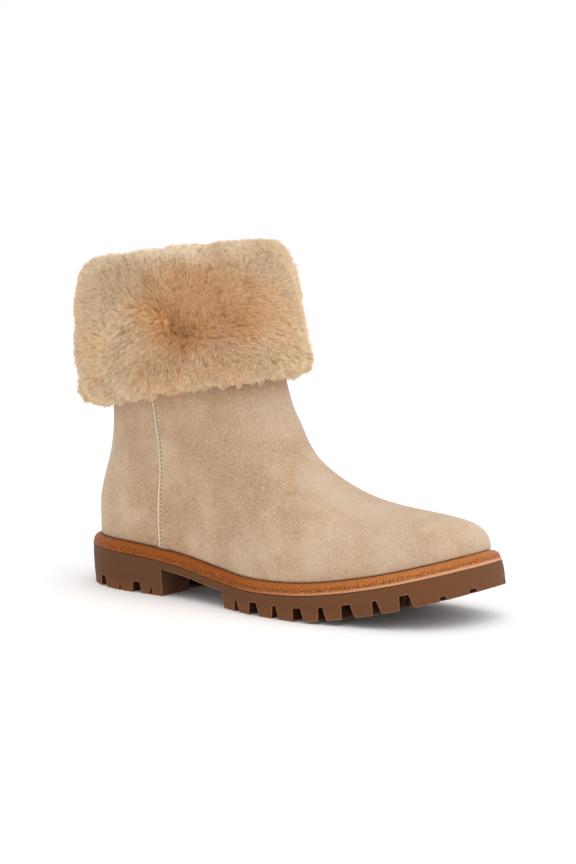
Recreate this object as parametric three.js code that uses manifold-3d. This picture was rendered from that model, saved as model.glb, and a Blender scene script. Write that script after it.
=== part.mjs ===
// A pull-on sheepskin boot for the right foot: a suede upper, a fleece cuff folded down over the
// top of the shaft, a leather midsole whose round edge shows as the welt, and a lugged rubber outsole.
// Millimetres. +X points to the toe, +Y to the inner side of the foot and +Z up.
import * as THREE from 'three';
import { mergeVertices } from 'three/addons/utils/BufferGeometryUtils.js';
import Module from 'manifold-3d';

const wasm = await Module();
wasm.setup();

// Sole
const soleLength = 284;
const heelWidth = 71;
const waistWidth = 74;
const ballWidth = 101.5;
const toeWidth = 92;
const heelStack = 24; // rubber under the back of the heel
const foreStack = 14.6; // rubber under the ball, lugs included
const toeSpring = 21.4;
const shankThickness = 4.6;
const breastFromHeel = 77;
const forepartFromHeel = 131; // where the first lug begins
const soleDraft = 1.4; // the sides of the rubber lean in by this much towards the floor

// Lugs
const lugDepth = 8;
const lugReach = 25; // length of the grooves, in from the side
const lugTaper = 1.5;
const wideGap = 5.4;
const narrowGap = 2.6;
const notchGap = 3.4;
const channelWidth = 4.5;
const heelChannelWidth = 15;

// Midsole, insole and clearances
const midsoleThickness = 6.4;
const weltReach = 5.3; // the midsole stands out past the upper by this much
const weltRound = 5.2; // radius of the midsole's upper edge
const insoleThickness = 4.5;
const insoleClearance = 1;
const restGap = 0.3;

// Upper
const upperWall = 2.4;
const toeHeight = 20; // crown of the toe over the edge of the sole
const instepRise = 57.5; // from the crown of the toe to the bend of the instep
const shaftTop = 206; // rim of the upper at its front, over the floor
const collarDip = 12; // the rim is lower at the back
const shaftDepth = 112; // front to back at the rim
const shaftWidth = 88;
const ankleInset = 11.4; // the back of the ankle stands this far ahead of the back of the heel
const rimInset = 7.7;
const featherBulge = 1.4;
const seamFromHeel = 72;
const seamLean = 2; // the side seam leans forward by this much up to the rim
const seamStep = 1;
const seamOverlap = 12;

// Cuff
const cuffBackThickness = 18;
const cuffFrontThickness = 15.5;
const cuffBackRise = 8.6; // fleece over the rim of the upper
const cuffFrontRise = 10.3;
const cuffBackDepth = 82; // from the rim down to the hem
const cuffFrontDepth = 71;
const liningThickness = 9;
const liningDepth = 36;
const cuffClearance = 1.2; // between the shaft and the cuff that hangs over it
const lockLength = 36;
const lockWidth = 28;
const lockRelief = 2.6;
const lockRoot = 2.6; // how deep a lock is rooted in the cuff
const lockSlant = 0.2; // radians that a lock may hang askew
const lockRows = 4;
const locksAround = 21;

const clamp01 = (v) => Math.min(1, Math.max(0, v));
const mix = (a, b, t) => a + (b - a) * t;
const ease = (from, to, v) => {
  const t = clamp01((v - from) / (to - from));
  return t * t * (3 - 2 * t);
};

// A smooth curve through one column of a table, with no overshoot between its rows
function through(rows, key, column, at) {
  const last = rows.length - 1;
  if (at <= rows[0][key]) return rows[0][column];
  if (at >= rows[last][key]) return rows[last][column];
  const slope = (i) => (rows[i + 1][column] - rows[i][column]) / (rows[i + 1][key] - rows[i][key]);
  const tangent = (i) => {
    if (i === 0) return slope(0);
    if (i === last) return slope(last - 1);
    const a = slope(i - 1);
    const b = slope(i);
    return a * b <= 0 ? 0 : (2 * a * b) / (a + b);
  };
  let i = 0;
  while (at > rows[i + 1][key]) i += 1;
  const span = rows[i + 1][key] - rows[i][key];
  const t = (at - rows[i][key]) / span;
  const t2 = t * t;
  const t3 = t2 * t;
  return (2 * t3 - 3 * t2 + 1) * rows[i][column] + (t3 - 2 * t2 + t) * span * tangent(i)
    + (3 * t2 - 2 * t3) * rows[i + 1][column] + (t3 - t2) * span * tangent(i + 1);
}

// Plan of the sole, measured out from the middle of the heel. Along is a share of soleLength.
const planRows = [
  { along: 0, outer: heelWidth * 0.485, inner: heelWidth * 0.485 },
  { along: 0.13, outer: heelWidth * 0.495, inner: heelWidth * 0.5 },
  { along: 0.27, outer: heelWidth * 0.508, inner: heelWidth * 0.48 },
  { along: 0.42, outer: waistWidth * 0.556, inner: waistWidth * 0.425 },
  { along: 0.55, outer: ballWidth * 0.51, inner: ballWidth * 0.37 },
  { along: 0.68, outer: ballWidth * 0.534, inner: ballWidth * 0.47 },
  { along: 0.8, outer: ballWidth * 0.473, inner: ballWidth * 0.484 },
  { along: 0.9, outer: toeWidth * 0.484, inner: toeWidth * 0.523 },
  { along: 1, outer: toeWidth * 0.43, inner: toeWidth * 0.66 },
];
const heelRound = { share: 0.178, power: 2 };
const toeRound = { share: 0.2, power: 2.3 };

function roundEnd(distance, end) {
  if (distance >= end.share) return 1;
  const t = clamp01((end.share - distance) / end.share);
  return (1 - t ** end.power) ** (1 / end.power);
}
const planAt = (column, x) => through(planRows, 'along', column, x / soleLength);
const soleCentre = (x) => (planAt('inner', x) - planAt('outer', x)) / 2;
function soleHalf(x) {
  const along = clamp01(x / soleLength);
  const ends = roundEnd(along, heelRound) * roundEnd(1 - along, toeRound);
  return ends * (planAt('inner', x) + planAt('outer', x)) / 2;
}

// Height of the tread over the floor, and of the rubber over the tread
const springFrom = 0.641;
const treadHeight = (x) => toeSpring * Math.max(0, (x / soleLength - springFrom) / (1 - springFrom)) ** 1.55;
const slopeProbe = 0.5;
const treadSlope = (x) => (treadHeight(x + slopeProbe) - treadHeight(x - slopeProbe)) / (2 * slopeProbe);
const stackRows = [
  { along: 0, stack: heelStack },
  { along: 0.12, stack: heelStack },
  { along: 0.25, stack: heelStack * 0.915 },
  { along: 0.34, stack: mix(foreStack, heelStack, 0.5) },
  { along: 0.42, stack: mix(foreStack, heelStack, 0.12) },
  { along: 0.55, stack: foreStack * 0.92 },
  { along: 0.66, stack: foreStack },
  { along: 0.8, stack: foreStack * 0.96 },
  { along: 1, stack: foreStack * 0.88 },
];
const stackAt = (x) => through(stackRows, 'along', 'stack', x / soleLength);
const midsoleRise = (x) => stackAt(x) + restGap;
const featherRise = (x) => midsoleRise(x) + midsoleThickness + restGap;

// A place over the tread. Where the tread springs up, the layers over it lean back square to it.
function overTread(p, rise) {
  return new THREE.Vector3(p.x - rise * treadSlope(p.x), p.y, treadHeight(p.x) + rise);
}

// Closed plan outline, from the heel along the outer side to the toe and back along the inner side
function planOutline(steps, inset) {
  const points = Array.from({ length: 2 * steps }, (_, i) => {
    const x = soleLength * (1 - Math.cos((Math.PI * i) / steps)) / 2;
    const side = i <= steps ? -1 : 1;
    return new THREE.Vector2(x, soleCentre(x) + side * soleHalf(x));
  });
  const count = points.length;
  return points.map((p, i) => {
    const run = points[(i + 1) % count].clone().sub(points[(i + count - 1) % count]).normalize();
    return new THREE.Vector2(p.x - run.y * inset, p.y + run.x * inset);
  });
}

// Mesh from rings of equal length. A closed loft joins its last ring to its first; an open one is capped.
function loft(rings, closed) {
  const n = rings[0].length;
  const positions = rings.flat().flatMap((p) => [p.x, p.y, p.z]);
  const index = [];
  const quad = (a, b, c, d) => index.push(a, b, c, a, c, d);
  const spans = closed ? rings.length : rings.length - 1;
  for (let j = 0; j < spans; j += 1) {
    const here = j * n;
    const next = ((j + 1) % rings.length) * n;
    for (let i = 0; i < n; i += 1) quad(here + i, here + ((i + 1) % n), next + ((i + 1) % n), next + i);
  }
  if (!closed) {
    const top = (rings.length - 1) * n;
    for (let i = 0; i < n / 2; i += 1) {
      const strip = [i, i + 1, n - i - 1, (n - i) % n].filter((v, k, all) => all.indexOf(v) === k);
      for (let k = 1; k + 1 < strip.length; k += 1) {
        index.push(strip[0], strip[k + 1], strip[k]);
        index.push(top + strip[0], top + strip[k], top + strip[k + 1]);
      }
    }
  }
  const geometry = new THREE.BufferGeometry();
  geometry.setAttribute('position', new THREE.Float32BufferAttribute(positions, 3));
  geometry.setIndex(index);
  return geometry;
}

function toSolid(source) {
  const bare = source.clone();
  bare.deleteAttribute('normal');
  bare.deleteAttribute('uv');
  const merged = mergeVertices(bare);
  const vertProperties = new Float32Array(merged.attributes.position.array);
  const triVerts = new Uint32Array(merged.index.array);
  return new wasm.Manifold(new wasm.Mesh({ numProp: 3, vertProperties, triVerts }));
}

function toGeometry(solid) {
  const mesh = solid.getMesh();
  const geometry = new THREE.BufferGeometry();
  geometry.setAttribute('position', new THREE.Float32BufferAttribute(mesh.vertProperties, 3));
  geometry.setIndex(new THREE.Uint32BufferAttribute(mesh.triVerts, 1));
  return geometry;
}

const facetSteps = 34; // facets along each side of the sole

// The outsole before its tread is cut
function soleBlank() {
  const ring = (inset, share) => planOutline(facetSteps, inset)
    .map((p) => overTread(p, stackAt(p.x) * share));
  return toSolid(loft([
    ring(soleDraft, 0),
    ring(soleDraft * 0.35, 0.4),
    ring(0, 0.75),
    ring(0, 1),
  ], false));
}

// The space under the waist, between the heel's breast and the first lug
function archCut() {
  const under = (x) => stackAt(x) - shankThickness;
  const breastChamfer = 1.5;
  const steps = 6;
  const profile = new THREE.Shape();
  profile.moveTo(breastFromHeel, -lugDepth);
  profile.lineTo(breastFromHeel, under(breastFromHeel) - breastChamfer);
  for (let i = 0; i <= steps; i += 1) {
    const x = mix(breastFromHeel + breastChamfer, forepartFromHeel - lugTaper, i / steps);
    profile.lineTo(x, under(x));
  }
  profile.lineTo(forepartFromHeel, 0);
  profile.lineTo(forepartFromHeel, -lugDepth);
  const slab = new THREE.ExtrudeGeometry(profile, { depth: 2 * ballWidth, bevelEnabled: false });
  slab.rotateX(Math.PI / 2);
  slab.translate(0, ballWidth, 0);
  return toSolid(slab);
}

// A tapered trench in the tread from one plan point to another, square to the tread at its start
function trench(from, to, gap, depth) {
  const mouth = gap / 2 + lugTaper * (depth / lugDepth);
  const section = new THREE.Shape([
    new THREE.Vector2(-mouth - lugTaper, -lugDepth),
    new THREE.Vector2(mouth + lugTaper, -lugDepth),
    new THREE.Vector2(gap / 2, depth),
    new THREE.Vector2(-gap / 2, depth),
  ]);
  const start = overTread(from, 0);
  const along = overTread(to, 0).sub(start);
  const prism = new THREE.ExtrudeGeometry(section, { depth: along.length(), bevelEnabled: false });
  along.normalize();
  const slope = treadSlope(mix(from.x, to.x, 0.5));
  const across = new THREE.Vector3().crossVectors(new THREE.Vector3(-slope, 0, 1), along).normalize();
  const upward = new THREE.Vector3().crossVectors(along, across);
  prism.applyMatrix4(new THREE.Matrix4().makeBasis(across, upward, along));
  prism.translate(start.x, start.y, start.z);
  return toSolid(prism);
}

const solePoint = (x, side, inset) => {
  const edge = (at) => new THREE.Vector2(at, soleCentre(at) + side * soleHalf(at));
  const run = edge(x + slopeProbe).sub(edge(x - slopeProbe)).normalize();
  const inward = new THREE.Vector2(side * run.y, -side * run.x);
  return edge(x).addScaledVector(inward, inset);
};

// Grooves down each side of the tread. Along is a share of soleLength, depth of lugDepth and reach
// of lugReach.
const grooveRows = [
  { along: 0.087, gap: wideGap, depth: 0.88, reach: 0.6 },
  { along: 0.148, gap: narrowGap * 0.4, depth: 0.6, reach: 0.3 },
  { along: 0.199, gap: wideGap, depth: 0.88, reach: 0.6 },
  { along: 0.239, gap: narrowGap * 0.4, depth: 0.6, reach: 0.3 },
  { along: 0.503, gap: narrowGap * 0.9, depth: 0.88, reach: 1 },
  { along: 0.557, gap: wideGap, depth: 1, reach: 1 },
  { along: 0.614, gap: narrowGap, depth: 1, reach: 1 },
  { along: 0.6735, gap: wideGap, depth: 1, reach: 1 },
  { along: 0.729, gap: narrowGap, depth: 1, reach: 1 },
  { along: 0.783, gap: wideGap, depth: 1, reach: 1 },
  { along: 0.844, gap: narrowGap, depth: 1, reach: 1 },
  { along: 0.901, gap: wideGap, depth: 1, reach: 0.9 },
  { along: 0.9585, gap: notchGap, depth: 0.3, reach: 0.5 },
  { along: 0.991, gap: notchGap * 1.4, depth: 0.3, reach: 0.5 },
];

function sideGrooves() {
  const past = 6; // the grooves begin this far outside the sole
  return grooveRows.flatMap((row) => [-1, 1].map((side) => {
    const x = row.along * soleLength;
    const end = solePoint(x, side, row.reach * lugReach);
    return trench(solePoint(x, side, -past), end, row.gap, row.depth * lugDepth);
  }));
}

// Two long channels at the inner ends of the lugs, and chevrons across the island between them
function forepartChannels() {
  const cuts = [];
  const from = forepartFromHeel - lugTaper;
  const to = soleLength * 0.9;
  const steps = 6;
  for (const side of [-1, 1]) {
    const points = Array.from({ length: steps + 1 }, (_, i) => (
      solePoint(mix(from, to, i / steps), side, lugReach)));
    for (let i = 0; i < steps; i += 1) {
      const on = points[i + 1].clone().sub(points[i]).setLength(channelWidth * 0.3);
      const start = points[i].clone().sub(on);
      cuts.push(trench(start, points[i + 1].clone().add(on), channelWidth, lugDepth * 0.9));
    }
    const lead = 9; // the tip of a chevron lies this far ahead of its ends
    const rows = grooveRows.filter((row) => row.depth === 1);
    for (const row of rows) {
      const x = row.along * soleLength;
      const tip = new THREE.Vector2(x + lead, soleCentre(x + lead) - side * narrowGap);
      cuts.push(trench(solePoint(x, side, lugReach), tip, narrowGap, lugDepth * 0.6));
    }
  }
  return cuts;
}

// A channel in from the heel's breast
function heelChannel() {
  const end = new THREE.Vector2(breastFromHeel * 0.42, 0);
  const start = new THREE.Vector2(breastFromHeel + lugTaper, soleCentre(breastFromHeel));
  return trench(start, end, heelChannelWidth, lugDepth);
}

function outsole() {
  const cuts = [archCut(), heelChannel(), ...sideGrooves(), ...forepartChannels()];
  return toGeometry(soleBlank().subtract(wasm.Manifold.union(cuts)));
}

// Midsole: a full leather layer with a round upper edge
function midsole() {
  const ring = (inset, rise) => planOutline(facetSteps, inset)
    .map((p) => overTread(p, midsoleRise(p.x) + rise));
  const rings = [ring(0, 0)];
  const arcSteps = 4;
  for (let i = 0; i <= arcSteps; i += 1) {
    const angle = (Math.PI / 2) * (i / arcSteps);
    const rise = midsoleThickness - weltRound * (1 - Math.sin(angle));
    rings.push(ring(weltRound * (1 - Math.cos(angle)), rise));
  }
  return loft(rings, false);
}

function insole() {
  const ring = (inset, rise) => planOutline(22, weltReach + upperWall + insoleClearance + inset)
    .map((p) => overTread(p, featherRise(p.x) + rise));
  return loft([ring(0, 0), ring(insoleClearance, insoleThickness)], false);
}

// The edge where the upper meets the midsole, and its height and half width at a place along the boot
const featherSteps = 160;
const featherLine = planOutline(featherSteps, weltReach).map((p) => overTread(p, featherRise(p.x)));
const outerFeather = featherLine.slice(0, featherSteps + 1);
const innerFeather = [featherLine[0], ...featherLine.slice(featherSteps).reverse()];
const featherBack = outerFeather[0].x;
const featherToe = outerFeather[featherSteps].x;
function featherAt(x, side) {
  const line = side < 0 ? outerFeather : innerFeather;
  const i = Math.max(1, line.findIndex((p) => p.x >= x));
  const a = line[i - 1];
  const b = line[i];
  const on = x >= featherToe ? 1 : clamp01((x - a.x) / (b.x - a.x));
  const end = x >= featherToe ? line[featherSteps] : a.clone().lerp(b, on);
  return { half: Math.max(0, side * (end.y - soleCentre(x))), z: end.z };
}

// Sections of the upper, from the edge of the sole to the rim. Toe, instep and shaft are shares of the
// three rises of the front, reach falls from 1 at the toe to 0 at the shaft, rise is a share of the height
// of the back, ankle and rim are shares of ankleInset and rimInset, half is a share of shaftWidth, and
// blend tells how far a section has turned from foot into shaft.
const sectionRows = [
  { level: 0, toe: 0, instep: 0, shaft: 0, reach: 1, ankle: 0, rim: 0, half: 0.4, blend: 0 },
  { level: 0.07, toe: 0.335, instep: 0, shaft: 0, reach: 0.997, ankle: 0.04, rim: 0, half: 0.4, blend: 0 },
  { level: 0.14, toe: 0.65, instep: 0, shaft: 0, reach: 0.972, ankle: 0.07, rim: 0, half: 0.4, blend: 0 },
  { level: 0.2, toe: 0.93, instep: 0, shaft: 0, reach: 0.915, ankle: 0.22, rim: 0, half: 0.4, blend: 0.02 },
  { level: 0.27, toe: 1, instep: 0.02, shaft: 0, reach: 0.805, ankle: 0.46, rim: 0, half: 0.4, blend: 0.08 },
  { level: 0.35, toe: 1, instep: 0.1, shaft: 0, reach: 0.576, ankle: 0.77, rim: 0, half: 0.41, blend: 0.2 },
  { level: 0.43, toe: 1, instep: 0.293, shaft: 0, reach: 0.379, ankle: 0.93, rim: 0, half: 0.42, blend: 0.4 },
  { level: 0.52, toe: 1, instep: 0.62, shaft: 0, reach: 0.22, ankle: 1, rim: 0, half: 0.44, blend: 0.65 },
  { level: 0.62, toe: 1, instep: 1, shaft: 0, reach: 0.135, ankle: 0.93, rim: 0.08, half: 0.46, blend: 0.88 },
  { level: 0.74, toe: 1, instep: 1, shaft: 0.31, reach: 0.065, ankle: 0.6, rim: 0.35, half: 0.48, blend: 1 },
  { level: 0.87, toe: 1, instep: 1, shaft: 0.65, reach: 0.027, ankle: 0.22, rim: 0.75, half: 0.49, blend: 1 },
  { level: 1, toe: 1, instep: 1, shaft: 1, reach: 0, ankle: 0, rim: 1, half: 0.5, blend: 1 },
];
const section = (column, level) => through(sectionRows, 'level', column, level);

const frontFoot = featherAt(featherToe, -1).z;
const backFoot = featherAt(featherBack, -1).z;
const shaftRise = shaftTop - frontFoot - toeHeight - instepRise;
const shaftFront = featherBack + rimInset + shaftDepth;
const frontPoint = (level) => ({
  x: mix(shaftFront, featherToe, section('reach', level)),
  z: frontFoot + toeHeight * section('toe', level) + instepRise * section('instep', level)
    + shaftRise * section('shaft', level),
});
const backPoint = (level) => ({
  x: featherBack + ankleInset * section('ankle', level) + rimInset * section('rim', level),
  z: mix(backFoot, shaftTop - collarDip, level),
});

// Height of the crest of the foot at x, read off the front profile, which goes on upward past the rim
const crest = Array.from({ length: 241 }, (_, i) => frontPoint(i / 240));
crest.push({ x: shaftFront - shaftDepth * 0.12, z: shaftTop * 2 });
function crestHeight(x) {
  let i = crest.length - 2;
  while (i > 0 && crest[i].x < x) i -= 1;
  const a = crest[i];
  const b = crest[i + 1];
  return mix(a.z, b.z, clamp01((a.x - x) / Math.max(a.x - b.x, 1e-6)));
}

// How square the top of a cross-section of the foot is, over the instep and over the toe
const boxiness = (x) => mix(1.75, 2.7, ease(shaftFront, featherToe - toeHeight, x));

function footHalf(x, z, side, back, front) {
  const slideBack = (back.x - featherBack) * (1 - ease(0, soleLength * 0.45, x));
  const slideToe = Math.max(0, front.x - featherToe) * ease(soleLength * 0.6, soleLength * 0.95, x);
  const plan = featherAt(x - slideBack - slideToe, side).half;
  const base = featherAt(x, side).z;
  const up = clamp01((z - base) / Math.max(crestHeight(x) - base, 1e-3));
  const bulgeHeight = toeHeight * 2.3;
  const bulge = featherBulge * Math.sin(Math.PI * clamp01((z - base) / bulgeHeight)) * clamp01(plan / 12);
  return (plan + bulge) * Math.sqrt(Math.max(0, 1 - up ** boxiness(x)));
}

// A point of the upper's outer face. Angle runs from 0 at the back to PI at the front.
function upperPoint(side, angle, level) {
  if (angle < 0) return upperPoint(-side, -angle, level);
  if (angle > Math.PI) return upperPoint(-side, 2 * Math.PI - angle, level);
  const back = backPoint(level);
  const front = frontPoint(level);
  const share = (1 - Math.cos(angle)) / 2;
  const x = mix(back.x, front.x, share);
  const footLift = mix(back.z - featherAt(back.x, side).z, front.z - featherAt(front.x, side).z, share);
  const z = mix(featherAt(x, side).z + footLift, mix(back.z, front.z, share), ease(0.05, 0.55, level));
  const blend = section('blend', level);
  const shaftHalf = shaftWidth * section('half', level) * Math.sin(angle);
  const half = mix(footHalf(x, z, side, back, front), shaftHalf, blend);
  return new THREE.Vector3(x, mix(soleCentre(x), 0, blend) + side * half, z);
}

// Outward direction of the upper's face
function upperNormal(side, angle, level) {
  const turn = 0.01;
  const rise = 0.002;
  const up = upperPoint(side, angle, Math.min(1, level + rise))
    .sub(upperPoint(side, angle, Math.max(0, level - rise)));
  const round = upperPoint(side, angle + turn, level).sub(upperPoint(side, angle - turn, level));
  return round.cross(up).multiplyScalar(-side).normalize();
}

// The angles of the columns on one side of a section. Two of them lie on the side seam, a hair apart,
// so that the front panel can step up over the back one.
const backColumns = 7;
const frontColumns = 13;
function columns(level) {
  const back = backPoint(level).x;
  const front = frontPoint(level).x;
  const angleAt = (x) => Math.acos(1 - (2 * (x - back)) / (front - back));
  const seamAt = mix(seamFromHeel, seamFromHeel + seamLean, level);
  const seam = angleAt(seamAt);
  const list = [];
  for (let i = 0; i < backColumns; i += 1) list.push({ angle: (seam * i) / backColumns, raise: 0 });
  list.push({ angle: seam, raise: 0 });
  list.push({ angle: angleAt(seamAt + seamStep / 2), raise: seamStep });
  list.push({ angle: angleAt(seamAt + seamOverlap / 2), raise: seamStep });
  const clear = angleAt(seamAt + seamOverlap);
  for (let i = 0; i <= frontColumns; i += 1) {
    list.push({ angle: mix(clear, Math.PI, i / frontColumns), raise: 0 });
  }
  return list;
}

function upperRing(level) {
  const list = columns(level);
  const outer = list.map((c) => ({ ...c, side: -1 }));
  const inner = list.slice(1, -1).reverse().map((c) => ({ ...c, side: 1 }));
  return [...outer, ...inner].map(({ side, angle, raise }) => {
    const normal = upperNormal(side, angle, level);
    return { normal, raise, p: upperPoint(side, angle, level).addScaledVector(normal, raise) };
  });
}

const footLevels = [0, 0.04, 0.09, 0.14, 0.18, 0.22, 0.26, 0.305, 0.35, 0.4, 0.45];
const upperLevels = [...footLevels, 0.5, 0.56, 0.63, 0.72, 0.85, 1];
function upper() {
  const rings = upperLevels.map(upperRing);
  const outside = rings.map((ring) => ring.map((c) => c.p));
  const inside = rings.map((ring, j) => ring.map((c) => {
    const p = c.p.clone().addScaledVector(c.normal, -upperWall - c.raise);
    if (j === 0 || j === rings.length - 1) p.z = c.p.z;
    return p;
  }));
  return loft([...outside, ...inside.reverse()], true);
}

// A place beside the shaft: depth is measured down from the rim and stand out from the upper's outer face
function besideShaft(side, angle, depth, stand) {
  const rim = upperPoint(side, angle, 1);
  let low = 0.3;
  let high = 1;
  for (let i = 0; i < 24; i += 1) {
    const middle = (low + high) / 2;
    if (upperPoint(side, angle, middle).z < rim.z - depth) low = middle;
    else high = middle;
  }
  const level = (low + high) / 2;
  const base = upperPoint(side, angle, level);
  base.z = rim.z - depth;
  const normal = upperNormal(side, angle, level);
  normal.z = 0;
  return base.addScaledVector(normal.normalize(), stand);
}

// Cuff: one hook-shaped section, over the rim from the lining inside to the hem outside, swept round
const hemDepth = (angle) => mix(cuffBackDepth, cuffFrontDepth, (1 - Math.cos(angle)) / 2);
const topRise = (angle) => mix(cuffBackRise, cuffFrontRise, (1 - Math.cos(angle)) / 2);
function cuffSection(angle) {
  const hem = hemDepth(angle);
  const rise = topRise(angle);
  const clear = seamStep + cuffClearance;
  const inner = -upperWall - restGap * 3;
  const t = mix(cuffBackThickness, cuffFrontThickness, (1 - Math.cos(angle)) / 2);
  const lining = inner - liningThickness;
  return [
    { depth: hem - 3, stand: clear },
    { depth: hem, stand: t * 0.34 },
    { depth: hem - 1.5, stand: t * 0.72 },
    { depth: hem - 6, stand: t * 0.98 },
    { depth: hem - 15, stand: t * 1.1 },
    { depth: hem * 0.6, stand: t * 1.06 },
    { depth: hem * 0.36, stand: t * 0.96 },
    { depth: hem * 0.14, stand: t * 0.9 },
    { depth: 2, stand: t * 0.81 },
    { depth: -rise * 0.6, stand: t * 0.56 },
    { depth: -rise, stand: t * 0.22 },
    { depth: -rise * 0.9, stand: lining * 0.3 },
    { depth: -rise * 0.35, stand: lining * 0.75 },
    { depth: rise * 0.6, stand: lining },
    { depth: liningDepth * 0.85, stand: lining },
    { depth: liningDepth, stand: (lining + inner) / 2 },
    { depth: liningDepth - 2, stand: inner },
    { depth: liningDepth * 0.5, stand: inner },
    { depth: -restGap, stand: inner },
    { depth: -restGap, stand: clear },
    { depth: hem * 0.25, stand: clear },
    { depth: hem * 0.5, stand: clear },
    { depth: hem * 0.75, stand: clear },
  ];
}

const cuffColumns = 18;
function cuffBody() {
  const around = Array.from({ length: 2 * cuffColumns }, (_, i) => (i <= cuffColumns
    ? { side: -1, angle: (Math.PI * i) / cuffColumns }
    : { side: 1, angle: (Math.PI * (2 * cuffColumns - i)) / cuffColumns }));
  const points = around.map(({ side, angle }) => cuffSection(angle)
    .map(({ depth, stand }) => besideShaft(side, angle, depth, stand)));
  const rings = points[0].map((_, k) => points.map((column) => column[k]));
  return toSolid(loft(rings, true));
}

// A lock of fleece: a flat leaf that hangs down the cuff, sunk in at its top and proud at its tip
// Its corners are shares of half its width and length, and of its root or relief.
const lockLeaf = [
  { across: 0, down: -1, out: -0.6 },
  { across: 0, down: 1, out: -0.1 },
  { across: 1, down: 0.25, out: -0.6 },
  { across: -1, down: 0.25, out: -0.6 },
  { across: 0, down: 0.55, out: 1 },
  { across: 0, down: 0.1, out: -1.6 },
];
const lockFaces = [4, 0, 2, 4, 2, 1, 4, 1, 3, 4, 3, 0, 5, 2, 0, 5, 1, 2, 5, 3, 1, 5, 0, 3];
function lock(side, angle, depth, size, slant) {
  const outside = cuffSection(angle).slice(1, 9).reverse();
  const root = through(outside, 'depth', 'stand', depth);
  const at = besideShaft(side, angle, depth, root);
  const below = besideShaft(side, angle, depth + 4, root);
  const down = below.sub(at).normalize();
  const out = at.clone().sub(besideShaft(side, angle, depth, 0)).normalize();
  const across = new THREE.Vector3().crossVectors(down, out).normalize();
  const lump = new THREE.BufferGeometry();
  const corners = lockLeaf.flatMap((c) => [
    c.across * lockWidth * size * 0.5,
    c.down * lockLength * size * 0.5,
    c.out * (c.out > 0 ? lockRelief : lockRoot),
  ]);
  lump.setAttribute('position', new THREE.Float32BufferAttribute(corners, 3));
  lump.setIndex(lockFaces);
  lump.rotateZ(slant);
  lump.applyMatrix4(new THREE.Matrix4().makeBasis(across, down, out));
  lump.translate(at.x, at.y, at.z);
  return toSolid(lump);
}

function cuff() {
  const locks = [];
  for (let row = 0; row < lockRows; row += 1) {
    for (let i = 0; i < locksAround; i += 1) {
      const turn = ((i + 0.5 * (row % 2) + 0.25) / locksAround) * 2 * Math.PI;
      const side = turn < Math.PI ? -1 : 1;
      const angle = turn < Math.PI ? turn : 2 * Math.PI - turn;
      const size = 0.85 + 0.3 * Math.abs(Math.sin(row * 2.4 + i * 1.7));
      const lowest = hemDepth(angle) - lockLength * 0.5 * size;
      const depth = mix(lockLength * 0.48, lowest, row / (lockRows - 1));
      locks.push(lock(side, angle, depth, size, lockSlant * Math.sin(row * 3.1 + i * 2.3)));
    }
  }
  return toGeometry(wasm.Manifold.union([cuffBody(), ...locks]));
}

function piece(name, geometry, color, roughness) {
  const mesh = new THREE.Mesh(geometry, new THREE.MeshStandardMaterial({ color, roughness, metalness: 0 }));
  mesh.name = name;
  return mesh;
}

const boot = new THREE.Group();
boot.add(piece('outsole', outsole(), 0x6b4630, 0.7));
boot.add(piece('midsole', midsole(), 0xb06a35, 0.5));
boot.add(piece('insole', insole(), 0xd9c4a0, 0.95));
boot.add(piece('upper', upper(), 0xcdb190, 0.95));
boot.add(piece('cuff', cuff(), 0xc99f6e, 0.95));

// The origin lies on the floor, under the middle of the boot
const box = new THREE.Box3().setFromObject(boot);
const middle = box.getCenter(new THREE.Vector3());
boot.position.set(-middle.x, -middle.y, -box.min.z);

export default boot;
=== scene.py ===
# A sheepskin boot on a pale floor: suede upper, folded fleece cuff, leather midsole and rubber outsole.
# Metres. +X points to the toe, -Y to the outer side of the foot, +Z up.
import math
import random

import bmesh
import bpy
from mathutils import Matrix, Vector, noise
from mathutils.bvhtree import BVHTree
from mathutils.geometry import intersect_point_line


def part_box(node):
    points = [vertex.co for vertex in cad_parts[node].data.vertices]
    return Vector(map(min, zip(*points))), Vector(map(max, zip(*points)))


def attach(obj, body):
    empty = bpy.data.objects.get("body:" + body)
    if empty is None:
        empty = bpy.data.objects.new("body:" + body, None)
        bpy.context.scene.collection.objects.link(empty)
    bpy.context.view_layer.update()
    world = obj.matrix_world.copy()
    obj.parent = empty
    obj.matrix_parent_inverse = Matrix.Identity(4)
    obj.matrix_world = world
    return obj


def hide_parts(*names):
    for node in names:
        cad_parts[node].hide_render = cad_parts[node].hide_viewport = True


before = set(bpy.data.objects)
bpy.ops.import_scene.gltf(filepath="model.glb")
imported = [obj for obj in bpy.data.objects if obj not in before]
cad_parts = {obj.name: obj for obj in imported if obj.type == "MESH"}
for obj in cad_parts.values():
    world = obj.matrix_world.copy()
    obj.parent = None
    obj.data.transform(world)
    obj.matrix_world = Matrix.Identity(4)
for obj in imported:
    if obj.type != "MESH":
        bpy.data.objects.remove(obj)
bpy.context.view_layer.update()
scene = bpy.context.scene
mm = 0.001
soleReach = 54.2 * mm  # from the heel's middle line out to the outer edge of the sole
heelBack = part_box("midsole")[0].x
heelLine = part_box("outsole")[0].y + soleReach


# A point in millimetres from the back of the heel, its middle line and the floor
def bootPoint(x, y, z):
    return Vector((heelBack + x * mm, heelLine + y * mm, z * mm))


# Camera, floor and lights
camera = {
    "target": (150, 0, 90),
    "distance": 1.1951,
    "azimuth": 35.567,  # degrees round from the outer side towards the toe
    "elevation": 6.563,
    "lens": 83.51,
    "sensor": 36,
    "shiftX": -0.00583,
    "shiftY": 0.02321,
}


def turnFrom(azimuth, elevation):
    a, e = math.radians(azimuth), math.radians(elevation)
    return Vector((math.sin(a) * math.cos(e), -math.cos(a) * math.cos(e), math.sin(e)))


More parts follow.
